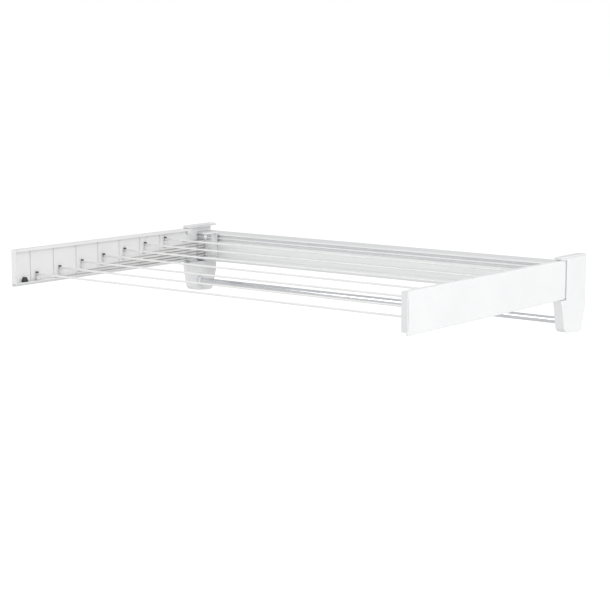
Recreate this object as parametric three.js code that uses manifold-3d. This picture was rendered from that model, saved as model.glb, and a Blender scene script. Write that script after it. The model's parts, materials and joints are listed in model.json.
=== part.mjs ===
// Wall-mounted drying rack that swings flat against the wall.
// Millimetres. X runs along the wall, +Y points into the wall, +Z is up.
// The origin is the middle of the wall rail's back face.
import * as THREE from 'three';
import { mergeVertices } from 'three/addons/utils/BufferGeometryUtils.js';
import Module from 'manifold-3d';

const wasm = await Module();
wasm.setup();

// ---------------------------------------------------------------- driving dimensions
const LEFT = -1;
const RIGHT = 1;

const ARM_OUTER_X = 500;          // middle of the rack to the outer face of either arm
const ARM_TOP = 45;
const COVER_HEIGHT = 79;
const COVER_THICK = 3.2;
const COVER_CROWN = 0.9;          // the cover's face stands proud by this much at half its height
const COVER_EDGE = 1.2;
const FRAME_TOP = 44.5;
const FRAME_BOTTOM = -28;
const FRAME_START = 3.5;          // distance of the frame's web from the outer face
const WEB_THICK = 2;
const FRAME_WIDTH = 14;           // outer face to the open side of the channel
const FLANGE_THICK = 2.5;
const LIP_HEIGHT = 5.5;           // the top flange's edge turns down by this much
const LIP_THICK = 2;
const ARM_FRONT_Y = -630;
const ARM_BACK_Y = -79.8;
const END_CAP_THICK = 3;
const END_CAP_INSET = 0.5;        // how far the cap's edges lie inside the cover's
const NOTCH_HALF = 3;             // half the height of the left cap's notch for the front rod

const PIVOT_INSET = 8.5;          // outer face to the plane that holds every arm pivot
const PIVOT_X = ARM_OUTER_X - PIVOT_INSET;
const HINGE_Y = -88;
const BOSS_RADIUS = 5;
const PIN_RADIUS = 2.6;
const PIN_ENGAGEMENT = 11;        // length of a hinge pin inside the arm's upper boss
const LOWER_PIN_DEPTH = 12;       // length of the lower hinge pin inside the bracket's foot
const CLEARANCE = 0.3;

const ROD_COUNT = 7;
const ROD_RADIUS = 2.1;
const ROD_BEND = 3;
const ROD_SIDES = 10;
const BEND_STEPS = 5;
const BEND_OVERLAP = 0.4;         // how far a straight run reaches into a bend
const FIRST_ROD_REACH = 477;      // hinge axis to the front rod
const ROD_PITCH = 66.5;
const FIRST_ROD_Z = -12.4;
const ROD_RISE = 6.5;             // each rod lies this much above the one in front of it
const ROD_TAIL = 9.4;             // height of the turned end that sits in its socket

const PAD_REACH = 513;            // hinge axis to the middle of the rest pad
const PAD_FOOT = 8;               // half the pad's length at its foot
const PAD_HEAD = 3;

const SOCKET_GAP = 3.4;
const SOCKET_HEIGHT = 8;
const SOCKET_HALF = 3.4;
const RIB_DEPTH = 2;
const RIB_THICK = 1.6;
const RIB_OFFSET = 16;            // each rib stands this far in front of its pivot

const KEEPER_RADIUS = 3.2;
const KEEPER_HEIGHT = 2.6;

const GUIDE_OFFSET_X = 49.1;      // arm pivot to guide wire pivot, the same at wall and rod
const GUIDE_OFFSET_Y = 4.6;
const GUIDE_DROP = 4.3;
const CLIP_HALF_LENGTH = 4;
const CLIP_HALF_HEIGHT = 2.7;
const CLIP_FRONT = 3.2;           // rod axis to the clip's front face
const LUG_RADIUS = 2.8;
const WIRE_RADIUS = 1.2;
const WIRE_SIDES = 6;
const WIRE_BEND = 1.5;
const WIRE_TAIL = 2.8;            // how far a wire's turned end stands above its rod
const POST_RADIUS = 3;
const EYE_RADIUS = POST_RADIUS + 0.4 + WIRE_RADIUS;

const BRACKET_OUTER_X = 502;
const BRACKET_INNER_X = 482;
const BRACKET_FRONT_Y = -97;
const CHEEK_FRONT_Y = -78;
const CHEEK_THICK = 3.5;
const FOOT_WALL = 3;
const CORNER_RADIUS = 5;
const BAY_TOP = 45.5;
const BAY_BOTTOM = -35;
const PLATE_TOP = 48.4;
const CAP_TOP = 51.4;
const CROWN_STEP = 1;             // the cap's raised middle stands in and up by this much

const RAIL_HALF_LENGTH = 498;
const RAIL_DEPTH = 50;
const RAIL_TOP = 33;
const RAIL_BOTTOM = -33;
const RAIL_CHAMFER = 2;
const RAIL_SKIN = 2.2;            // wall of the rail above and below its hollow
const RAIL_BACK_WALL = 2.5;
const RAIL_FRONT_WALL = 6.5;      // deep enough to hold the grooves
const GROOVES = [[29, 23.5], [20.5, 14.5]];
const GROOVE_DEPTH = 4;
const FACE_LINES = [-6, -21];     // heights of the two fine lines in the rail's face
const FACE_LINE_DEPTH = 0.6;
const SCREW_PLACES = [-420, -140, 140, 420];
const SCREW_HOLE_RADIUS = 2.75;

const BAR_Y = -60;
const BAR_Z = -80;
const BAR_RADIUS = 7;
const BAR_WALL = 1.2;
const BAR_HALF_LENGTH = 481.4;
const COLLAR_LENGTH = 9;
const COLLAR_BASE = 3.2;          // wall of the collar at the bracket
const COLLAR_LIP = 1.8;           // wall of the collar at its open end

const UPPER_PIN_BOTTOM = FRAME_TOP - PIN_ENGAGEMENT;
const LOWER_PIN_TOP = FRAME_BOTTOM + PIN_ENGAGEMENT - 1;

// ---------------------------------------------------------------- materials
function surface(color, roughness, metalness) {
  return new THREE.MeshStandardMaterial({ color, roughness, metalness });
}

const whitePlastic = surface(0xf2f2f0, 0.45, 0);
const ribbedPlastic = surface(0xe6e6e4, 0.5, 0);
const coatedSteel = surface(0xf0f0ee, 0.35, 0);
const anodised = surface(0xc9cacc, 0.35, 0.9);
const chrome = surface(0xd4d6d8, 0.15, 1);
const steel = surface(0x9a9c9e, 0.3, 1);
const darkRubber = surface(0x4a4a48, 0.8, 0);
const darkPlastic = surface(0x3a3a3c, 0.5, 0);

// ---------------------------------------------------------------- solids
function solidOf(geometry) {
  const bare = geometry.clone();
  bare.deleteAttribute('normal');
  bare.deleteAttribute('uv');
  const merged = mergeVertices(bare, 1e-4);
  const vertProperties = new Float32Array(merged.attributes.position.array);
  const triVerts = new Uint32Array(merged.index.array);
  return new wasm.Manifold(new wasm.Mesh({ numProp: 3, vertProperties, triVerts }));
}

function geometryOf(solid) {
  const mesh = solid.getMesh();
  const geometry = new THREE.BufferGeometry();
  geometry.setAttribute('position', new THREE.BufferAttribute(new Float32Array(mesh.vertProperties), 3));
  geometry.setIndex(new THREE.BufferAttribute(new Uint32Array(mesh.triVerts), 1));
  geometry.computeVertexNormals();
  return geometry;
}

function join(geometries) {
  return geometries.map(solidOf).reduce((whole, piece) => whole.add(piece));
}

function cut(solid, geometries) {
  return geometries.map(solidOf).reduce((rest, tool) => rest.subtract(tool), solid);
}

function block(xs, ys, zs) {
  const [x0, x1] = [Math.min(...xs), Math.max(...xs)];
  const [y0, y1] = [Math.min(...ys), Math.max(...ys)];
  const [z0, z1] = [Math.min(...zs), Math.max(...zs)];
  const geometry = new THREE.BoxGeometry(x1 - x0, y1 - y0, z1 - z0);
  return geometry.translate((x0 + x1) / 2, (y0 + y1) / 2, (z0 + z1) / 2);
}

function uprightCylinder(radius, x, y, z0, z1, sides = 24) {
  const geometry = new THREE.CylinderGeometry(radius, radius, z1 - z0, sides);
  return geometry.rotateX(Math.PI / 2).translate(x, y, (z0 + z1) / 2);
}

function crosswiseCylinder(radius, x0, x1, y, z, sides = 24) {
  const geometry = new THREE.CylinderGeometry(radius, radius, x1 - x0, sides);
  return geometry.rotateZ(Math.PI / 2).translate((x0 + x1) / 2, y, z);
}

// A ring or tube about a line along X, from a closed profile of [radius, x] points.
function ringAlongX(profile, y, z, sides = 32) {
  const points = profile.map(([radius, x]) => new THREE.Vector2(radius, x));
  points.push(points[0].clone());
  const geometry = new THREE.LatheGeometry(points, sides);
  return geometry.rotateZ(-Math.PI / 2).translate(0, y, z);
}

// An outline in the Y-Z plane, extruded between two X positions.
function sidePlate(outline, x0, x1) {
  const shape = new THREE.Shape(outline.map(([y, z]) => new THREE.Vector2(y, z)));
  const geometry = new THREE.ExtrudeGeometry(shape, { depth: Math.abs(x1 - x0), bevelEnabled: false });
  geometry.applyMatrix4(new THREE.Matrix4().set(0, 0, 1, 0, 1, 0, 0, 0, 0, 1, 0, 0, 0, 0, 0, 1));
  return geometry.translate(Math.min(x0, x1), 0, 0);
}

// An outline in the X-Z plane, extruded between two Y positions.
function lengthwise(outline, y0, y1) {
  const shape = new THREE.Shape(outline.map(([x, z]) => new THREE.Vector2(x, z)));
  const geometry = new THREE.ExtrudeGeometry(shape, { depth: y1 - y0, bevelEnabled: false, curveSegments: 6 });
  return geometry.rotateX(Math.PI / 2).translate(0, y1, 0);
}

// An outline in the X-Y plane with round corners, extruded between two heights.
function roundedPlate(xs, ys, z0, z1, radius) {
  const [x0, x1] = [Math.min(...xs), Math.max(...xs)];
  const [y0, y1] = [Math.min(...ys), Math.max(...ys)];
  const shape = new THREE.Shape();
  shape.moveTo(x0, y1);
  shape.lineTo(x0, y0 + radius);
  shape.absarc(x0 + radius, y0 + radius, radius, Math.PI, Math.PI * 1.5);
  shape.absarc(x1 - radius, y0 + radius, radius, Math.PI * 1.5, Math.PI * 2);
  shape.lineTo(x1, y1);
  const options = { depth: z1 - z0, bevelEnabled: false, curveSegments: 8 };
  return new THREE.ExtrudeGeometry(shape, options).translate(0, 0, z0);
}

function wireSection(radius) {
  return new THREE.Shape().absarc(0, 0, radius, 0, Math.PI * 2);
}

function straightWire(start, end, radius, sides) {
  const line = new THREE.LineCurve3(start, end);
  const options = { steps: 1, curveSegments: sides / 2, bevelEnabled: false, extrudePath: line };
  return new THREE.ExtrudeGeometry(wireSection(radius), options);
}

function wireBend(start, corner, end, radius, sides) {
  const bend = new THREE.QuadraticBezierCurve3(start, corner, end);
  const options = { steps: BEND_STEPS, curveSegments: sides / 2, bevelEnabled: false, extrudePath: bend };
  return new THREE.ExtrudeGeometry(wireSection(radius), options);
}

// A round wire: straight runs that reach a little way into the round bends between them.
function bentWire(corners, bendRadius, radius, sides) {
  const pieces = [];
  const last = corners.length - 1;
  for (let i = 0; i < last; i += 1) {
    const direction = corners[i + 1].clone().sub(corners[i]).normalize();
    const trim = bendRadius - BEND_OVERLAP;
    const start = corners[i].clone().addScaledVector(direction, i === 0 ? 0 : trim);
    const end = corners[i + 1].clone().addScaledVector(direction, i + 1 === last ? 0 : -trim);
    pieces.push(straightWire(start, end, radius, sides));
  }
  for (let i = 1; i < last; i += 1) {
    const before = corners[i - 1].clone().sub(corners[i]).setLength(bendRadius).add(corners[i]);
    const after = corners[i + 1].clone().sub(corners[i]).setLength(bendRadius).add(corners[i]);
    pieces.push(wireBend(before, corners[i], after, radius, sides));
  }
  return join(pieces);
}

// ---------------------------------------------------------------- rod layout
function rodReach(index) {
  return FIRST_ROD_REACH - index * ROD_PITCH;
}

function rodY(index) {
  return HINGE_Y - rodReach(index);
}

function rodZ(index) {
  return FIRST_ROD_Z + index * ROD_RISE;
}

const rodIndices = [...Array(ROD_COUNT).keys()];

// ---------------------------------------------------------------- wall unit
function wallRail() {
  const front = -RAIL_DEPTH;
  const grooves = GROOVES.flatMap(([top, bottom]) => [
    [front, top], [front + GROOVE_DEPTH, top - 1], [front + GROOVE_DEPTH, bottom + 1], [front, bottom],
  ]);
  const lines = FACE_LINES.flatMap((z) => [
    [front, z + 1], [front + FACE_LINE_DEPTH, z + 0.4], [front + FACE_LINE_DEPTH, z - 0.4], [front, z - 1],
  ]);
  const outline = [
    [0, RAIL_BOTTOM], [0, RAIL_TOP], [front + RAIL_CHAMFER, RAIL_TOP], [front, RAIL_TOP - RAIL_CHAMFER],
    ...grooves,
    ...lines,
    [front, RAIL_BOTTOM + RAIL_CHAMFER], [front + RAIL_CHAMFER, RAIL_BOTTOM],
  ];
  const solid = solidOf(sidePlate(outline, -RAIL_HALF_LENGTH, RAIL_HALF_LENGTH));
  const beyond = RAIL_HALF_LENGTH + 5;
  const hollowYs = [-RAIL_BACK_WALL, front + RAIL_FRONT_WALL];
  const hollow = block([-beyond, beyond], hollowYs, [RAIL_TOP - RAIL_SKIN, RAIL_BOTTOM + RAIL_SKIN]);
  const screwHoles = SCREW_PLACES.map((x) => {
    const hole = new THREE.CylinderGeometry(SCREW_HOLE_RADIUS, SCREW_HOLE_RADIUS, 4 * RAIL_BACK_WALL, 16);
    return hole.translate(x, 0, 0);
  });
  return geometryOf(cut(solid, [hollow, ...screwHoles]));
}

// The bracket's side view: a straight top half and a foot that draws in towards its lower end.
function bracketOutline() {
  return [
    [0, PLATE_TOP], [BRACKET_FRONT_Y, PLATE_TOP], [BRACKET_FRONT_Y, BAY_BOTTOM],
    [-85, -92], [-78, -99], [-66, -102], [-24, -105], [-17, -103], [-13, -97], [0, -56],
  ];
}

function bracket(side) {
  const outer = side * BRACKET_OUTER_X;
  const inner = side * BRACKET_INNER_X;
  const cheekInside = side * (BRACKET_OUTER_X - CHEEK_THICK);
  const pinHole = PIN_RADIUS + CLEARANCE;
  const solid = solidOf(sidePlate(bracketOutline(), outer, inner));
  const footHollow = sidePlate(
    [[5, BAY_BOTTOM - 6], [-74, BAY_BOTTOM - 6], [-70, -88], [-64, -97], [-26, -100], [-15, -90], [5, -54]],
    outer - side * FOOT_WALL,
    inner + side * FOOT_WALL,
  );
  const tools = [
    block([cheekInside, side * (BRACKET_INNER_X - 10)], [5, BRACKET_FRONT_Y - 5], [BAY_BOTTOM, BAY_TOP]),
    block([outer + side * 5, inner - side * 5], [CHEEK_FRONT_Y, BRACKET_FRONT_Y - 5], [BAY_BOTTOM, BAY_TOP]),
    footHollow,
    uprightCylinder(pinHole, side * PIVOT_X, HINGE_Y, BAY_TOP - 1, PLATE_TOP + 1),
    uprightCylinder(pinHole, side * PIVOT_X, HINGE_Y, BAY_BOTTOM - LOWER_PIN_DEPTH - 2, BAY_BOTTOM + 1),
    cornerCut(side),
  ];
  return geometryOf(cut(solid, tools));
}

// Rounds the outer front corner over the full height of a bracket.
function cornerCut(side) {
  const x = side * BRACKET_OUTER_X;
  const y = BRACKET_FRONT_Y;
  const shape = new THREE.Shape();
  shape.moveTo(x + side, y - 1);
  shape.lineTo(x + side, y + CORNER_RADIUS);
  shape.lineTo(x, y + CORNER_RADIUS);
  shape.quadraticCurveTo(x, y, x - side * CORNER_RADIUS, y);
  shape.lineTo(x - side * CORNER_RADIUS, y - 1);
  const options = { depth: 200, bevelEnabled: false, curveSegments: 6 };
  return new THREE.ExtrudeGeometry(shape, options).translate(0, 0, -130);
}

function bracketCap(side) {
  const xs = [side * BRACKET_OUTER_X, side * BRACKET_INNER_X];
  const bottom = PLATE_TOP + CLEARANCE;
  const base = solidOf(roundedPlate(xs, [0, BRACKET_FRONT_Y], bottom, CAP_TOP - CROWN_STEP, CORNER_RADIUS));
  const crownXs = [side * (BRACKET_OUTER_X - CROWN_STEP), side * (BRACKET_INNER_X + CROWN_STEP)];
  const crownYs = [-CROWN_STEP, BRACKET_FRONT_Y + CROWN_STEP];
  const crownBottom = CAP_TOP - CROWN_STEP - 0.2;
  const crown = solidOf(roundedPlate(crownXs, crownYs, crownBottom, CAP_TOP, CORNER_RADIUS - CROWN_STEP));
  return geometryOf(base.add(crown));
}

function hingePin(side, z0, z1) {
  return uprightCylinder(PIN_RADIUS, side * PIVOT_X, HINGE_Y, z0, z1, 20);
}

function towelBar() {
  const inner = BAR_RADIUS - BAR_WALL;
  const profile = [
    [inner, -BAR_HALF_LENGTH], [BAR_RADIUS, -BAR_HALF_LENGTH],
    [BAR_RADIUS, BAR_HALF_LENGTH], [inner, BAR_HALF_LENGTH],
  ];
  return ringAlongX(profile, BAR_Y, BAR_Z, 28);
}

function towelBarSocket(side) {
  const bore = BAR_RADIUS + CLEARANCE;
  const face = BRACKET_INNER_X - CLEARANCE;
  const profile = [
    [bore, face - COLLAR_LENGTH], [bore + COLLAR_LIP, face - COLLAR_LENGTH],
    [bore + COLLAR_BASE, face - 2], [bore + COLLAR_BASE, face], [bore, face],
  ];
  const placed = profile.map(([radius, x]) => [radius, side * x]);
  return ringAlongX(side > 0 ? placed : placed.reverse(), BAR_Y, BAR_Z, 28);
}

// ---------------------------------------------------------------- guide post
const POST_X = -PIVOT_X + GUIDE_OFFSET_X;
const POST_Y = HINGE_Y + GUIDE_OFFSET_Y;
const POST_TOP = 36.5;
const POST_BOTTOM = -24;
const HOLDER_HALF_WIDTH = 8;
const HOLDER_PLATE = 2.5;
const HOLDER_NOSE = 5;            // how far the holder reaches in front of the post's axis

function guidePostHolder() {
  const back = -RAIL_DEPTH - CLEARANCE;
  const front = POST_Y - HOLDER_NOSE;
  const xs = [POST_X - HOLDER_HALF_WIDTH, POST_X + HOLDER_HALF_WIDTH];
  const solid = join([
    block(xs, [back, back - HOLDER_PLATE], [POST_BOTTOM, POST_TOP]),
    roundedPlate(xs, [back, front], POST_TOP - HOLDER_PLATE, POST_TOP, HOLDER_NOSE),
    roundedPlate(xs, [back, front], POST_BOTTOM, POST_BOTTOM + HOLDER_PLATE, HOLDER_NOSE),
  ]);
  const bore = uprightCylinder(POST_RADIUS + CLEARANCE, POST_X, POST_Y, POST_BOTTOM - 2, POST_TOP + 2);
  return geometryOf(cut(solid, [bore]));
}

function guidePost() {
  return uprightCylinder(POST_RADIUS, POST_X, POST_Y, POST_BOTTOM, POST_TOP + 0.8, 20);
}

function guideWire(index) {
  const z = rodZ(index) - GUIDE_DROP;
  const farY = rodY(index) + GUIDE_OFFSET_Y;
  const wire = bentWire([
    new THREE.Vector3(POST_X, POST_Y - EYE_RADIUS, z),
    new THREE.Vector3(POST_X, farY, z),
    new THREE.Vector3(POST_X, farY, z + GUIDE_DROP + WIRE_TAIL),
  ], WIRE_BEND, WIRE_RADIUS, WIRE_SIDES);
  const eyeProfile = [...Array(WIRE_SIDES).keys()].map((k) => {
    const angle = (k / WIRE_SIDES) * Math.PI * 2;
    return new THREE.Vector2(EYE_RADIUS + Math.cos(angle) * WIRE_RADIUS, Math.sin(angle) * WIRE_RADIUS);
  });
  eyeProfile.push(eyeProfile[0].clone());
  const eye = new THREE.LatheGeometry(eyeProfile, 16).rotateX(Math.PI / 2).translate(POST_X, POST_Y, z);
  return geometryOf(wire.add(solidOf(eye)));
}

// ---------------------------------------------------------------- arms
// Sockets lie under the rods on the left arm and over them on the right one, so that the
// turned ends point away from the rods that sweep past when the rack is folded.
function socketHeights(side, index) {
  const near = rodZ(index) + side * SOCKET_GAP;
  return [near, near + side * SOCKET_HEIGHT];
}

function armFrame(side) {
  const at = (inset) => side * (ARM_OUTER_X - inset);
  const open = at(FRAME_WIDTH);
  const ys = [ARM_BACK_Y, ARM_FRONT_Y + END_CAP_THICK + CLEARANCE];
  const pieces = [
    block([at(FRAME_START), at(FRAME_START + WEB_THICK)], ys, [FRAME_BOTTOM, FRAME_TOP]),
    block([at(FRAME_START), open], ys, [FRAME_TOP - FLANGE_THICK, FRAME_TOP]),
    block([at(FRAME_WIDTH - LIP_THICK), open], ys, [FRAME_TOP - LIP_HEIGHT, FRAME_TOP]),
    block([at(FRAME_START), open], ys, [FRAME_BOTTOM, FRAME_BOTTOM + FLANGE_THICK]),
    uprightCylinder(BOSS_RADIUS, side * PIVOT_X, HINGE_Y, FRAME_TOP - PIN_ENGAGEMENT - 1, FRAME_TOP),
    uprightCylinder(BOSS_RADIUS, side * PIVOT_X, HINGE_Y, FRAME_BOTTOM, FRAME_BOTTOM + PIN_ENGAGEMENT),
  ];
  const holes = [uprightCylinder(PIN_RADIUS + CLEARANCE, side * PIVOT_X, HINGE_Y, -40, 60)];
  rodIndices.forEach((index) => {
    const ribY = rodY(index) - RIB_OFFSET;
    const ribXs = [at(FRAME_START + 1), at(FRAME_START + WEB_THICK + RIB_DEPTH)];
    pieces.push(block(ribXs, [ribY - RIB_THICK / 2, ribY + RIB_THICK / 2], [FRAME_BOTTOM + 1, FRAME_TOP - 1]));
    const socketXs = [at(FRAME_START + 1), at(PIVOT_INSET + SOCKET_HALF)];
    const socketYs = [rodY(index) - 4, rodY(index) + 4];
    const heights = socketHeights(side, index);
    pieces.push(block(socketXs, socketYs, heights));
    const z0 = Math.min(...heights) - 0.5;
    const z1 = Math.max(...heights) + 0.5;
    holes.push(uprightCylinder(ROD_RADIUS + CLEARANCE, side * PIVOT_X, rodY(index), z0, z1, 12));
  });
  return geometryOf(cut(join(pieces), holes));
}

// The smooth outer panel: a shallow crown across its height and soft edges.
function armCover(side) {
  const bottom = ARM_TOP - COVER_HEIGHT;
  const steps = 8;
  const face = [...Array(steps + 1).keys()].map((k) => {
    const share = k / steps;
    const height = bottom + COVER_EDGE + share * (COVER_HEIGHT - 2 * COVER_EDGE);
    const inset = COVER_CROWN * (2 * share - 1) ** 2;
    return [side * (ARM_OUTER_X - inset), height];
  });
  const inside = side * (ARM_OUTER_X - COVER_THICK);
  const edge = side * (ARM_OUTER_X - COVER_CROWN - COVER_EDGE);
  const outline = [[inside, bottom], [edge, bottom], ...face, [edge, ARM_TOP], [inside, ARM_TOP]];
  return lengthwise(outline, ARM_FRONT_Y + END_CAP_THICK + CLEARANCE, ARM_BACK_Y);
}

function armEndCap(side) {
  const at = (inset) => side * (ARM_OUTER_X - inset);
  const ys = [ARM_FRONT_Y, ARM_FRONT_Y + END_CAP_THICK];
  const top = ARM_TOP - END_CAP_INSET;
  const plate = join([
    block([at(END_CAP_INSET), at(COVER_THICK)], ys, [ARM_TOP - COVER_HEIGHT + END_CAP_INSET, top]),
    block([at(COVER_THICK - 0.5), at(FRAME_WIDTH)], ys, [FRAME_BOTTOM, top]),
  ]);
  const notchXs = [at(PIVOT_INSET + NOTCH_HALF), at(FRAME_WIDTH + 1)];
  const notchZs = [rodZ(0) - NOTCH_HALF, rodZ(0) + NOTCH_HALF];
  const frontRodPath = block(notchXs, [ys[0] - 1, ys[1] + 1], notchZs);
  return geometryOf(side === LEFT ? cut(plate, [frontRodPath]) : plate);
}

// The soft wedge under the front rod near the left arm's free end.
function rodRestPad() {
  const inset = FRAME_START + WEB_THICK + CLEARANCE;
  const xs = [-(ARM_OUTER_X - inset), -(ARM_OUTER_X - FRAME_WIDTH + 1.5)];
  const y = HINGE_Y - PAD_REACH;
  const z0 = FRAME_BOTTOM + FLANGE_THICK + CLEARANCE;
  const z1 = rodZ(0) - ROD_RADIUS - 1;
  const outline = [[y - PAD_FOOT, z0], [y + PAD_FOOT, z0], [y + PAD_HEAD, z1], [y - PAD_HEAD, z1]];
  return sidePlate(outline, xs[0], xs[1]);
}

// ---------------------------------------------------------------- drying rods
function dryingRod(index) {
  const y = rodY(index);
  const z = rodZ(index);
  return geometryOf(bentWire([
    new THREE.Vector3(-PIVOT_X, y, z - ROD_TAIL),
    new THREE.Vector3(-PIVOT_X, y, z),
    new THREE.Vector3(PIVOT_X, y, z),
    new THREE.Vector3(PIVOT_X, y, z + ROD_TAIL),
  ], ROD_BEND, ROD_RADIUS, ROD_SIDES));
}

// A small dark stop on the left arm over each rod's elbow, which keeps the rod down in its socket.
function rodKeeper(index) {
  const bottom = rodZ(index) + ROD_RADIUS + CLEARANCE;
  const top = bottom + KEEPER_HEIGHT;
  const webInside = -(ARM_OUTER_X - FRAME_START - WEB_THICK) + CLEARANCE;
  const round = solidOf(uprightCylinder(KEEPER_RADIUS, -PIVOT_X, rodY(index), bottom, top));
  const ys = [rodY(index) - 2 * KEEPER_RADIUS, rodY(index) + 2 * KEEPER_RADIUS];
  const beyond = block([webInside, webInside - KEEPER_RADIUS], ys, [bottom - 1, top + 1]);
  return geometryOf(cut(round, [beyond]));
}

// A small clip on each rod, with a lug that holds the end of that rod's guide wire.
function rodClip(index) {
  const y = rodY(index);
  const z = rodZ(index);
  const [bottom, top] = [z - CLIP_HALF_HEIGHT, z + CLIP_HALF_HEIGHT];
  const xs = [POST_X - CLIP_HALF_LENGTH, POST_X + CLIP_HALF_LENGTH];
  const body = join([
    block(xs, [y - CLIP_FRONT, y + GUIDE_OFFSET_Y], [bottom, top]),
    uprightCylinder(LUG_RADIUS, POST_X, y + GUIDE_OFFSET_Y, bottom, top, 12),
  ]);
  return geometryOf(cut(body, [
    crosswiseCylinder(ROD_RADIUS + CLEARANCE / 2, POST_X - 10, POST_X + 10, y, z, 12),
    uprightCylinder(WIRE_RADIUS + CLEARANCE, POST_X, y + GUIDE_OFFSET_Y, z - 5, z + 5, 10),
  ]));
}

// ---------------------------------------------------------------- assembly
const rack = new THREE.Group();

function add(name, geometry, material) {
  const mesh = new THREE.Mesh(geometry, material);
  mesh.name = name;
  rack.add(mesh);
}

add('wall_rail', wallRail(), anodised);
add('towel_bar', towelBar(), chrome);
add('guide_post_holder', guidePostHolder(), whitePlastic);
add('guide_post', guidePost(), steel);
add('rod_rest_pad', rodRestPad(), darkRubber);

for (const [label, side] of [['left', LEFT], ['right', RIGHT]]) {
  add(`bracket_${label}`, bracket(side), whitePlastic);
  add(`bracket_cap_${label}`, bracketCap(side), whitePlastic);
  add(`towel_bar_socket_${label}`, towelBarSocket(side), whitePlastic);
  add(`hinge_pin_upper_${label}`, hingePin(side, UPPER_PIN_BOTTOM, PLATE_TOP), steel);
  add(`hinge_pin_lower_${label}`, hingePin(side, BAY_BOTTOM - LOWER_PIN_DEPTH, LOWER_PIN_TOP), steel);
  add(`arm_frame_${label}`, armFrame(side), ribbedPlastic);
  add(`arm_cover_${label}`, armCover(side), whitePlastic);
  add(`arm_end_cap_${label}`, armEndCap(side), whitePlastic);
}

for (const index of rodIndices) {
  add(`drying_rod_${index + 1}`, dryingRod(index), coatedSteel);
  add(`rod_keeper_${index + 1}`, rodKeeper(index), darkPlastic);
  add(`rod_clip_${index + 1}`, rodClip(index), whitePlastic);
  add(`guide_wire_${index + 1}`, guideWire(index), steel);
}

export default rack;
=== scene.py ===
"""Wall-mounted drying rack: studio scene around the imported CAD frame. Metres, +Z up, +Y into the wall."""
import json
import math

import bmesh
import bpy
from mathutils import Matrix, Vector


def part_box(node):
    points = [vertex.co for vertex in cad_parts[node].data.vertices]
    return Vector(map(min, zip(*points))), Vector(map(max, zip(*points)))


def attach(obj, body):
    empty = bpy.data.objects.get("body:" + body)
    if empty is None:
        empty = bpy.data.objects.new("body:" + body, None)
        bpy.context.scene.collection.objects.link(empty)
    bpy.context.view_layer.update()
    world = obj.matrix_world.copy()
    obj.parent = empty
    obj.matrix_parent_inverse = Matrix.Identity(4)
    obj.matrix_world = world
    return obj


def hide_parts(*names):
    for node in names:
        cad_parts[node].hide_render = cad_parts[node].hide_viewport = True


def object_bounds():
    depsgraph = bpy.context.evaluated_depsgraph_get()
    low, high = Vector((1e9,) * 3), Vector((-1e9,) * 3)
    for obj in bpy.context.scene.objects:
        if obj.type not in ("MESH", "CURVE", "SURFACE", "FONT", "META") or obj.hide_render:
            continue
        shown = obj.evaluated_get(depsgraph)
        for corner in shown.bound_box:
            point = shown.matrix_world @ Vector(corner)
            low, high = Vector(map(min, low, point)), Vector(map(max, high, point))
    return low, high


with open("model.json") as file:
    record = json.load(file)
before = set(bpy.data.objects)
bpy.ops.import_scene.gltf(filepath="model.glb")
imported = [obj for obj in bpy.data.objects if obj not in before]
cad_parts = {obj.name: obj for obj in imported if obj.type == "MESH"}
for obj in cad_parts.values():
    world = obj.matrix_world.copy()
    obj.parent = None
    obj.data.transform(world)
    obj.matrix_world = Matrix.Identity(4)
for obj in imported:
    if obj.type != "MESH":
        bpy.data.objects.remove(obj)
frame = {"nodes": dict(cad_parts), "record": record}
cad_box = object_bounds()

NODES = frame["nodes"]
ROD_COUNT = 7
SIDES = ("left", "right")
MILLIMETRE = 0.001


# ---------------------------------------------------------------- camera
CAMERA_PLACE = (2.1158, -2.9911, 0.4551)
CAMERA_TILT = math.radians(81.365)
CAMERA_YAW = math.radians(37.93)
CAMERA_LENS_MM = 99.13
CAMERA_SENSOR_MM = 36


def make_camera():
    data = bpy.data.cameras.new("camera")
    data.lens = CAMERA_LENS_MM
    data.sensor_width = CAMERA_SENSOR_MM
    data.clip_end = 60
    camera = bpy.data.objects.new("camera", data)
    camera.location = CAMERA_PLACE
    camera.rotation_euler = (CAMERA_TILT, 0, CAMERA_YAW)
    bpy.context.scene.collection.objects.link(camera)
    bpy.context.scene.camera = camera


# ---------------------------------------------------------------- materials
NOISE_LOW = 0.3                   # nearly all of a noise's values lie between these two
NOISE_HIGH = 0.7
CORNER_DARK = 0.25                # openness at which a corner has its full shade
CORNER_CLEAR = 0.85
# How far the painted corner shade reaches, for plastic and for metal.
PLASTIC_CORNER_REACH = 0.012
METAL_CORNER_REACH = 0.004
# Colour of the painted shade in metal grooves and corners.
METAL_GROOVE_SHADE = (0.35, 0.35, 0.36)

# Stretches for noise that runs along an axis.
ALONG_X = (0.01, 1, 1)
ALONG_Y = (1, 0.02, 1)
ALONG_Z = (1, 1, 0.02)


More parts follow.
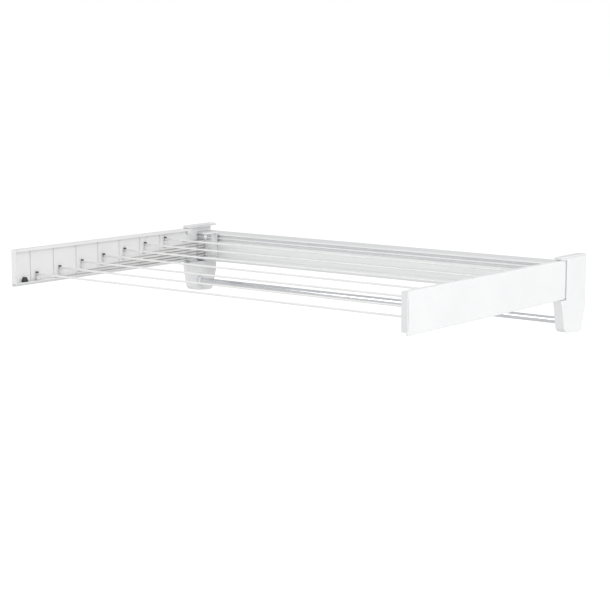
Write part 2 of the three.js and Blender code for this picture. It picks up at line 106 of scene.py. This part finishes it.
class Surface:
    """A procedural material: one Principled shader with colour, roughness and bump built from nodes."""

    def __init__(self, name, roughness, metallic=0.0, specular=0.5):
        self.material = bpy.data.materials.new(name)
        self.material.use_nodes = True
        self.tree = self.material.node_tree
        self.shader = self.tree.nodes["Principled BSDF"]
        self.shader.inputs["Roughness"].default_value = roughness
        self.shader.inputs["Metallic"].default_value = metallic
        self.shader.inputs["Specular IOR Level"].default_value = specular
        self.bump = None

    def link(self, source, target):
        self.tree.links.new(source, target)

    def noise(self, scale, detail=3.0, stretch=(1, 1, 1)):
        """Noise in the object's own metres; stretch under 1 draws it out along that axis."""
        place = self.tree.nodes.new("ShaderNodeTexCoord")
        mapping = self.tree.nodes.new("ShaderNodeMapping")
        mapping.inputs["Scale"].default_value = stretch
        noise = self.tree.nodes.new("ShaderNodeTexNoise")
        noise.inputs["Scale"].default_value = scale
        noise.inputs["Detail"].default_value = detail
        self.link(place.outputs["Object"], mapping.inputs["Vector"])
        self.link(mapping.outputs["Vector"], noise.inputs["Vector"])
        return noise.outputs["Fac"]

    def ramp(self, source, low, high, start=NOISE_LOW, end=NOISE_HIGH):
        ramp = self.tree.nodes.new("ShaderNodeValToRGB")
        ramp.color_ramp.elements[0].position = start
        ramp.color_ramp.elements[0].color = (*low, 1)
        ramp.color_ramp.elements[1].position = end
        ramp.color_ramp.elements[1].color = (*high, 1)
        self.link(source, ramp.inputs["Fac"])
        return ramp.outputs["Color"]

    def colour(self, source, low, high):
        self.link(self.ramp(source, low, high), self.shader.inputs["Base Color"])

    def colour_with_painted_shade(self, source, low, high, corner_shade_colour, distance):
        """Colour from noise, with painted shade: darkened where surfaces meet closely, as ambient occlusion
        measures it.
        """
        base = self.ramp(source, low, high)
        occlusion = self.tree.nodes.new("ShaderNodeAmbientOcclusion")
        occlusion.inputs["Distance"].default_value = distance
        occlusion.samples = 8
        # Painted shade: the occlusion darkens the base colour in corners and grooves.
        shade = self.ramp(occlusion.outputs["AO"], corner_shade_colour, (1, 1, 1), CORNER_DARK, CORNER_CLEAR)
        mix = self.tree.nodes.new("ShaderNodeMix")
        mix.data_type = "RGBA"
        mix.blend_type = "MULTIPLY"
        mix.inputs["Factor"].default_value = 1.0
        self.link(base, mix.inputs["A"])
        self.link(shade, mix.inputs["B"])
        self.link(mix.outputs["Result"], self.shader.inputs["Base Color"])

    def rough(self, source, low, high):
        spread = self.tree.nodes.new("ShaderNodeMapRange")
        spread.inputs["From Min"].default_value = NOISE_LOW
        spread.inputs["From Max"].default_value = NOISE_HIGH
        spread.inputs["To Min"].default_value = low
        spread.inputs["To Max"].default_value = high
        self.link(source, spread.inputs["Value"])
        self.link(spread.outputs["Result"], self.shader.inputs["Roughness"])

    def relief(self, source, strength, depth):
        bump = self.tree.nodes.new("ShaderNodeBump")
        bump.inputs["Strength"].default_value = strength
        bump.inputs["Distance"].default_value = depth
        self.link(source, bump.inputs["Height"])
        if self.bump:
            self.link(self.bump.outputs["Normal"], bump.inputs["Normal"])
        self.link(bump.outputs["Normal"], self.shader.inputs["Normal"])
        self.bump = bump


def moulded_plastic(name, low, high, corner_shade_colour, roughness, grain):
    """Injection-moulded plastic: a fine spark-eroded grain, a faint flow mottle and corners darkened by
    painted shade.
    """
    surface = Surface(name, roughness)
    surface.colour_with_painted_shade(surface.noise(9, 4), low, high, corner_shade_colour, PLASTIC_CORNER_REACH)
    surface.rough(surface.noise(40, 3), roughness - 0.05, roughness + 0.07)
    surface.relief(surface.noise(55, 3), 0.12, 0.0004)
    surface.relief(surface.noise(grain, 2), 0.16, 0.00008)
    return surface.material


def coated_wire(name):
    """Thick white plastic coat on steel wire: smooth, slightly uneven, glossy."""
    surface = Surface(name, 0.3)
    surface.colour(surface.noise(22, 3), (0.84, 0.84, 0.83), (0.9, 0.9, 0.89))
    surface.rough(surface.noise(90, 2), 0.24, 0.38)
    surface.relief(surface.noise(350, 2, (0.12, 1, 1)), 0.2, 0.0001)
    surface.shader.inputs["Coat Weight"].default_value = 0.25
    surface.shader.inputs["Coat Roughness"].default_value = 0.15
    return surface.material


def drawn_metal(name, low, high, roughness, lines, depth, along, metallic=1.0):
    """Metal drawn or brushed along one axis: long streaks in colour, gloss and relief."""
    surface = Surface(name, roughness, metallic=metallic)
    streaks = surface.noise(lines, 4, along)
    # Painted shade: the colour is darkened in grooves and where parts meet closely.
    surface.colour_with_painted_shade(streaks, low, high, METAL_GROOVE_SHADE, METAL_CORNER_REACH)
    surface.rough(surface.noise(lines * 0.7, 3, along), roughness - 0.06, roughness + 0.1)
    surface.relief(streaks, 0.3, depth)
    return surface.material


def polished_metal(name):
    """Chrome plate: mirror-like with fine wiping marks along the tube."""
    surface = Surface(name, 0.12, metallic=1.0)
    streaks = surface.noise(500, 3, (0.03, 1, 1))
    surface.colour(surface.noise(6, 3), (0.7, 0.71, 0.73), (0.82, 0.83, 0.85))
    surface.rough(streaks, 0.08, 0.2)
    surface.relief(streaks, 0.08, 0.00004)
    return surface.material


def soft_rubber(name):
    surface = Surface(name, 0.75)
    surface.colour(surface.noise(60, 4), (0.035, 0.035, 0.035), (0.06, 0.06, 0.058))
    surface.relief(surface.noise(1500, 2), 0.3, 0.0001)
    return surface.material


def floor_surface(name):
    surface = Surface(name, 0.85, specular=0.1)
    surface.colour(surface.noise(3, 3), (0.78, 0.78, 0.78), (0.8, 0.8, 0.8))
    surface.relief(surface.noise(400, 2), 0.05, 0.0002)
    surface.shader.inputs["Emission Color"].default_value = (1, 1, 1, 1)
    seen = surface.tree.nodes.new("ShaderNodeLightPath")
    glow = surface.tree.nodes.new("ShaderNodeMath")
    glow.operation = "MULTIPLY"
    glow.inputs[1].default_value = FLOOR_GLOW
    surface.link(seen.outputs["Is Camera Ray"], glow.inputs[0])
    surface.link(glow.outputs["Value"], surface.shader.inputs["Emission Strength"])
    return surface.material


# Linear colours: the two ends of each material's variation.
WHITE_PLASTIC = ((0.84, 0.845, 0.85), (0.88, 0.885, 0.89))
RIBBED_PLASTIC = ((0.86, 0.86, 0.86), (0.9, 0.9, 0.9))
# Near-black plastic: painted shade standing in for the dark holes where the rods enter the left arm.
DARK_PLASTIC_FOR_HOLE_SHADE = ((0.03, 0.03, 0.032), (0.05, 0.05, 0.052))
ANODISED = ((0.8, 0.805, 0.81), (0.9, 0.905, 0.91))
STEEL = ((0.5, 0.5, 0.49), (0.78, 0.78, 0.76))
# Colour of the painted shade in the plastics' corners.
PLASTIC_PAINTED_CORNER_SHADE = (0.84, 0.845, 0.86)


def make_materials():
    return {
        "white_plastic": moulded_plastic("white_plastic", *WHITE_PLASTIC, PLASTIC_PAINTED_CORNER_SHADE, 0.38, 1400),
        "ribbed_plastic": moulded_plastic("ribbed_plastic", *RIBBED_PLASTIC, PLASTIC_PAINTED_CORNER_SHADE, 0.45, 1100),
        "coated_steel": coated_wire("coated_steel"),
        "anodised_rail": drawn_metal("anodised_rail", *ANODISED, 0.42, 900, 0.00005, ALONG_X, metallic=0.3),
        "chrome_bar": polished_metal("chrome_bar"),
        "bare_steel": drawn_metal("bare_steel", *STEEL, 0.28, 700, 0.00005, ALONG_Z),
        "guide_steel": drawn_metal("guide_steel", *STEEL, 0.3, 900, 0.00004, ALONG_Y),
        "dark_plastic": moulded_plastic("dark_plastic", *DARK_PLASTIC_FOR_HOLE_SHADE, PLASTIC_PAINTED_CORNER_SHADE, 0.45, 1200),
        "dark_rubber": soft_rubber("dark_rubber"),
    }


# ---------------------------------------------------------------- finer pieces
def slot_of(node):
    for row in frame["record"]["subparts"]:
        if row["node"] == node:
            return row["material_slot"]
    raise ValueError(node)


def body_of_node(node):
    for body, members in frame["record"]["behaviour"]["bodies"].items():
        if node in members:
            return body
    raise ValueError(node)


def finish_piece(piece, nodes, materials):
    """Material, body, slot and the CAD nodes the piece stands for."""
    slot = slot_of(nodes[0])
    piece.data.materials.clear()
    piece.data.materials.append(materials[slot])
    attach(piece, body_of_node(nodes[0]))
    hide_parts(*nodes)


WELD_DISTANCE = 0.01 * MILLIMETRE
FLAT_ENOUGH = math.radians(1.5)   # faces that differ by less than this are joined into one
REAL_EDGE = math.radians(28)      # edges sharper than this are rounded


def softened(node, width, segments, materials):
    """A copy of a CAD solid with its flat faces cleaned up and every real edge rounded."""
    mesh = NODES[node].data.copy()
    piece = bpy.data.objects.new(node + "_fine", mesh)
    bpy.context.scene.collection.objects.link(piece)
    work = bmesh.new()
    work.from_mesh(mesh)
    bmesh.ops.remove_doubles(work, verts=work.verts, dist=WELD_DISTANCE)
    bmesh.ops.dissolve_limit(work, angle_limit=FLAT_ENOUGH, verts=work.verts, edges=work.edges)
    work.to_mesh(mesh)
    work.free()
    bevel = piece.modifiers.new("soft_edges", "BEVEL")
    bevel.width = width
    bevel.segments = segments
    bevel.limit_method = "ANGLE"
    bevel.angle_limit = REAL_EDGE
    bevel.harden_normals = False
    bevel.use_clamp_overlap = True
    for polygon in mesh.polygons:
        polygon.use_smooth = True
    weighted = piece.modifiers.new("even_normals", "WEIGHTED_NORMAL")
    weighted.keep_sharp = False
    finish_piece(piece, [node], materials)
    return piece


def make_moulded_pieces(materials):
    for side in SIDES:
        softened("bracket_" + side, 0.9 * MILLIMETRE, 3, materials)
        softened("bracket_cap_" + side, 0.9 * MILLIMETRE, 3, materials)
        softened("arm_frame_" + side, 0.35 * MILLIMETRE, 2, materials)
        softened("arm_cover_" + side, 1.3 * MILLIMETRE, 4, materials)
        softened("arm_end_cap_" + side, 0.6 * MILLIMETRE, 3, materials)
    softened("guide_post_holder", 0.5 * MILLIMETRE, 2, materials)
    softened("rod_rest_pad", 0.8 * MILLIMETRE, 3, materials)
    softened("wall_rail", 0.35 * MILLIMETRE, 2, materials)
    for number in range(1, ROD_COUNT + 1):
        softened("rod_clip_%d" % number, 0.35 * MILLIMETRE, 2, materials)
        softened("rod_keeper_%d" % number, 0.5 * MILLIMETRE, 2, materials)


# ---------------------------------------------------------------- rods and wires
ROD_RADIUS = 2.1 * MILLIMETRE
ROD_BEND = 4 * MILLIMETRE
WIRE_RADIUS = 1.2 * MILLIMETRE
WIRE_BEND = 2.2 * MILLIMETRE
EYE_PLAY = 0.4 * MILLIMETRE       # gap between the post and a guide wire's eye
EYE_STEPS = 32
ROD_SIDES = 16
WIRE_SIDES = 12


def bend_points(corners, radius, steps=8):
    """The corners' path with each inner corner replaced by a round bend."""
    points = [corners[0]]
    for before, corner, after in zip(corners, corners[1:], corners[2:]):
        start = corner + (before - corner).normalized() * radius
        end = corner + (after - corner).normalized() * radius
        for step in range(steps + 1):
            share = step / steps
            points.append(start.lerp(corner, share).lerp(corner.lerp(end, share), share))
    points.append(corners[-1])
    return points


def ring_frames(points, closed):
    """The direction of travel at each point of a flat path, and the normal of the path's plane."""
    count = len(points)
    travel = []
    for index, point in enumerate(points):
        ahead = points[(index + 1) % count] if closed or index + 1 < count else point
        behind = points[index - 1] if closed or index > 0 else point
        travel.append((ahead - behind).normalized())
    normal = Vector((0, 0, 0))
    for direction in travel[1:]:
        if travel[0].cross(direction).length > 0.05:
            normal = travel[0].cross(direction).normalized()
            break
    return travel, normal


def add_tube(work, points, radius, sides, closed=False):
    """Adds a round tube along a flat path, with flat ends unless the path is closed."""
    travel, normal = ring_frames(points, closed)
    rings = []
    for point, direction in zip(points, travel):
        rings.append(tube_ring(work, point, direction, normal, radius, sides))
    pairs = list(zip(rings, rings[1:]))
    if closed:
        pairs.append((rings[-1], rings[0]))
    for near, far in pairs:
        for k in range(sides):
            work.faces.new((near[k], near[(k + 1) % sides], far[(k + 1) % sides], far[k]))
    if not closed:
        work.faces.new(list(reversed(rings[0])))
        work.faces.new(rings[-1])


def tube_ring(work, centre, direction, normal, radius, sides):
    across = direction.cross(normal).normalized()
    ring = []
    for k in range(sides):
        angle = 2 * math.pi * k / sides
        ring.append(work.verts.new(centre + (normal * math.cos(angle) + across * math.sin(angle)) * radius))
    return ring


def piece_from(work, name):
    bmesh.ops.recalc_face_normals(work, faces=work.faces)
    mesh = bpy.data.meshes.new(name)
    work.to_mesh(mesh)
    work.free()
    for polygon in mesh.polygons:
        polygon.use_smooth = True
    piece = bpy.data.objects.new(name, mesh)
    bpy.context.scene.collection.objects.link(piece)
    return piece


def make_rods(materials):
    for number in range(1, ROD_COUNT + 1):
        node = "drying_rod_%d" % number
        low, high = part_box(node)
        y = (low.y + high.y) / 2
        left = low.x + ROD_RADIUS
        right = high.x - ROD_RADIUS
        axis = rod_height(node)
        corners = [
            Vector((left, y, low.z)),
            Vector((left, y, axis)),
            Vector((right, y, axis)),
            Vector((right, y, high.z)),
        ]
        work = bmesh.new()
        add_tube(work, bend_points(corners, ROD_BEND), ROD_RADIUS, ROD_SIDES)
        piece = piece_from(work, node + "_fine")
        finish_piece(piece, [node], materials)


def rod_height(node):
    """Height of a rod's long run: its two turned ends reach equally far below and above it."""
    low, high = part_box(node)
    return (low.z + high.z) / 2


def make_guide_wires(materials):
    post_low, post_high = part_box("guide_post")
    post = (post_low + post_high) / 2
    post_radius = (post_high.x - post_low.x) / 2
    eye_radius = post_radius + EYE_PLAY + WIRE_RADIUS
    for number in range(1, ROD_COUNT + 1):
        node = "guide_wire_%d" % number
        low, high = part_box(node)
        z = low.z + WIRE_RADIUS
        far_y = low.y + WIRE_RADIUS
        corners = [
            Vector((post.x, post.y - eye_radius, z)),
            Vector((post.x, far_y, z)),
            Vector((post.x, far_y, high.z)),
        ]
        work = bmesh.new()
        add_tube(work, bend_points(corners, WIRE_BEND), WIRE_RADIUS, WIRE_SIDES)
        eye = []
        for step in range(EYE_STEPS):
            angle = 2 * math.pi * step / EYE_STEPS
            x = post.x + eye_radius * math.cos(angle)
            y = post.y + eye_radius * math.sin(angle)
            eye.append(Vector((x, y, z)))
        add_tube(work, eye, WIRE_RADIUS, WIRE_SIDES, closed=True)
        piece = piece_from(work, node + "_fine")
        finish_piece(piece, [node], materials)


# ---------------------------------------------------------------- turned pieces
def lathe(profile, centre, axis, sides, name):
    """Turns a profile of (radius, distance along the axis) points about X or Z."""
    work = bmesh.new()
    rings = []
    for radius, along in profile:
        ring = []
        for k in range(sides):
            angle = 2 * math.pi * k / sides
            first = radius * math.cos(angle)
            second = radius * math.sin(angle)
            if axis == "X":
                place = Vector((along, centre.y + first, centre.z + second))
            else:
                place = Vector((centre.x + first, centre.y + second, along))
            ring.append(work.verts.new(place))
        rings.append(ring)
    for near, far in zip(rings, rings[1:] + rings[:1]):
        for k in range(sides):
            work.faces.new((near[k], near[(k + 1) % sides], far[(k + 1) % sides], far[k]))
    return piece_from(work, name)


def sharpen(piece, degrees=40):
    """Keeps real corners crisp on a smooth-shaded piece."""
    work = bmesh.new()
    work.from_mesh(piece.data)
    for edge in work.edges:
        if len(edge.link_faces) == 2 and edge.calc_face_angle() > math.radians(degrees):
            edge.smooth = False
    work.to_mesh(piece.data)
    work.free()


BAR_WALL = 1.2 * MILLIMETRE
BAR_PLAY = 0.3 * MILLIMETRE       # gap between the towel bar and its collars
LATHE_SIDES = 64
PIN_SIDES = 40
PIN_EDGE = 0.5 * MILLIMETRE


def make_turned_pieces(materials):
    low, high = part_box("towel_bar")
    centre = (low + high) / 2
    radius = (high.z - low.z) / 2
    inner = radius - BAR_WALL
    profile = [(inner, low.x), (radius, low.x), (radius, high.x), (inner, high.x)]
    bar = lathe(profile, centre, "X", LATHE_SIDES, "towel_bar_fine")
    sharpen(bar)
    finish_piece(bar, ["towel_bar"], materials)
    for side in SIDES:
        make_bar_socket(side, radius, materials)
    make_pin("guide_post", materials)
    for end in ("upper", "lower"):
        for side in SIDES:
            make_pin("hinge_pin_%s_%s" % (end, side), materials)


def make_bar_socket(side, bar_radius, materials):
    node = "towel_bar_socket_" + side
    low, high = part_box(node)
    centre = (low + high) / 2
    outer = (high.z - low.z) / 2
    bore = bar_radius + BAR_PLAY
    sign = 1 if side == "right" else -1
    face = high.x if side == "right" else low.x
    lip = low.x if side == "right" else high.x
    edge = 0.7 * MILLIMETRE
    profile = [
        (bore, lip),
        (bore + 1.1 * MILLIMETRE, lip),
        (bore + 1.6 * MILLIMETRE, lip + sign * 0.3 * MILLIMETRE),
        (bore + 1.9 * MILLIMETRE, lip + sign * edge),
        (outer - edge, face - sign * 3 * MILLIMETRE),
        (outer, face - sign * 2 * MILLIMETRE),
        (outer, face),
        (bore, face),
    ]
    piece = lathe(profile, centre, "X", LATHE_SIDES, node + "_fine")
    sharpen(piece)
    finish_piece(piece, [node], materials)


def make_pin(node, materials):
    low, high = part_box(node)
    centre = (low + high) / 2
    radius = (high.x - low.x) / 2
    edge = min(PIN_EDGE, radius / 3)
    round_off = edge * 0.3
    tiny = radius * 0.02
    profile = [
        (tiny, low.z),
        (radius - edge, low.z),
        (radius - round_off, low.z + round_off),
        (radius, low.z + edge),
        (radius, high.z - edge),
        (radius - round_off, high.z - round_off),
        (radius - edge, high.z),
        (tiny, high.z),
    ]
    piece = lathe(profile, centre, "Z", PIN_SIDES, node + "_fine")
    sharpen(piece)
    finish_piece(piece, [node], materials)


# ---------------------------------------------------------------- stage and light
FLOOR_DROP = 0.45
FLOOR_SIZE = 4000
ROOM_LIGHT = 0.68
FLOOR_GLOW = 0.54


def make_stage():
    bpy.ops.mesh.primitive_plane_add(size=FLOOR_SIZE, location=(0, 0, cad_box[0][2] - FLOOR_DROP))
    floor = bpy.context.object
    floor.name = "floor"
    floor.data.materials.append(floor_surface("floor_surface"))


def area_light(name, place, target, size, power):
    data = bpy.data.lights.new(name, "AREA")
    data.shape = "RECTANGLE"
    data.size, data.size_y = size
    data.energy = power
    light = bpy.data.objects.new(name, data)
    light.location = place
    aim = Vector(target) - Vector(place)
    light.rotation_euler = aim.to_track_quat("-Z", "Y").to_euler()
    bpy.context.scene.collection.objects.link(light)


def make_room_light():
    """Even light from all round, while what is seen directly behind the floor stays white."""
    world = bpy.data.worlds.new("studio")
    world.use_nodes = True
    tree = world.node_tree
    room = tree.nodes["Background"]
    room.inputs["Color"].default_value = (1, 1, 1, 1)
    room.inputs["Strength"].default_value = ROOM_LIGHT
    white = tree.nodes.new("ShaderNodeBackground")
    white.inputs["Color"].default_value = (1, 1, 1, 1)
    white.inputs["Strength"].default_value = 1.0
    seen = tree.nodes.new("ShaderNodeLightPath")
    mix = tree.nodes.new("ShaderNodeMixShader")
    tree.links.new(seen.outputs["Is Camera Ray"], mix.inputs["Fac"])
    tree.links.new(room.outputs["Background"], mix.inputs[1])
    tree.links.new(white.outputs["Background"], mix.inputs[2])
    tree.links.new(mix.outputs["Shader"], tree.nodes["World Output"].inputs["Surface"])
    bpy.context.scene.world = world


def make_lights():
    make_room_light()
    area_light("overhead", (0.2, -0.6, 2.6), (0, -0.3, 0), (2.6, 2.0), 4)
    area_light("from_right", (3.0, -0.5, 1.0), (0.2, -0.25, 0), (1.6, 2.0), 35)
    area_light("from_front", (-1.6, -3.2, 1.2), (0, -0.3, 0), (1.8, 1.8), 30)
    bpy.context.scene.view_settings.view_transform = "Standard"


make_camera()
materials = make_materials()
make_moulded_pieces(materials)
make_rods(materials)
make_guide_wires(materials)
make_turned_pieces(materials)
make_stage()
make_lights()
